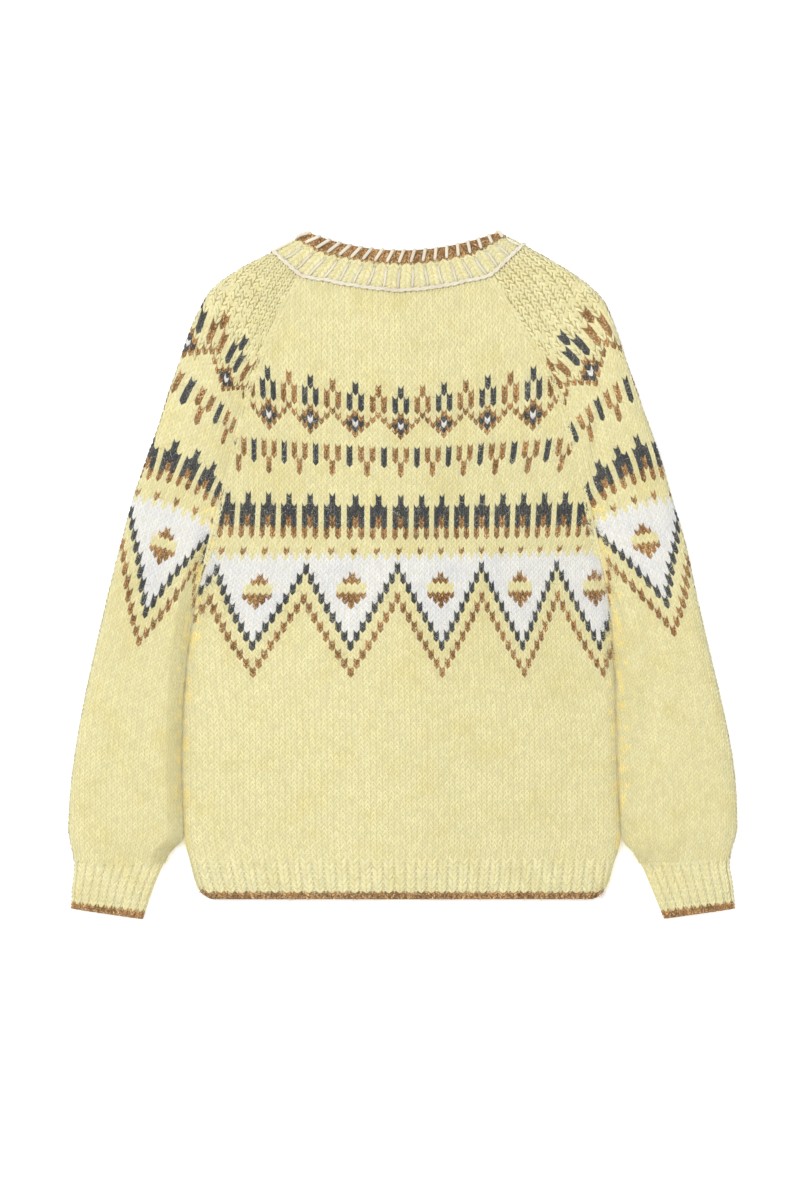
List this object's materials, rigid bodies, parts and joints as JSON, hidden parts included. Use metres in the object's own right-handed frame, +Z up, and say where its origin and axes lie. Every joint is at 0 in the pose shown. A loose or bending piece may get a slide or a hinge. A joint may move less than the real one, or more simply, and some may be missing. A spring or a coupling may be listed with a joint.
{
  "type": "knitted raglan cardigan laid flat",
  "caption": "Knitted raglan cardigan with a patterned yoke, rib hem, cuffs and neckband and buttoned front, laid flat face down.",
  "frame": {"origin": "on the floor under the middle of the box round the garment", "axes": "+Z up, +Y from hem to neck, +X to the wearer's right, the garment lying on its front"},
  "size_m": [0.57, 0.585, 0.0111],
  "materials": {
    "wool_knit": "pale yellow melange wool in stocking stitch, slightly felted",
    "wool_rib": "pale yellow melange wool in one by one rib with a brown edge",
    "button_horn": "satin brown horn effect"
  },
  "bodies": {
    "root": {"back": "wool_knit", "front_left": "wool_knit", "front_right": "wool_knit", "sleeve_left": "wool_knit", "sleeve_right": "wool_knit", "neckband": "wool_rib", "button_band": "wool_rib", "buttonhole_band": "wool_rib", "button_1": "button_horn", "button_2": "button_horn", "button_3": "button_horn", "button_4": "button_horn", "button_5": "button_horn"}
  },
  "joints": []
}
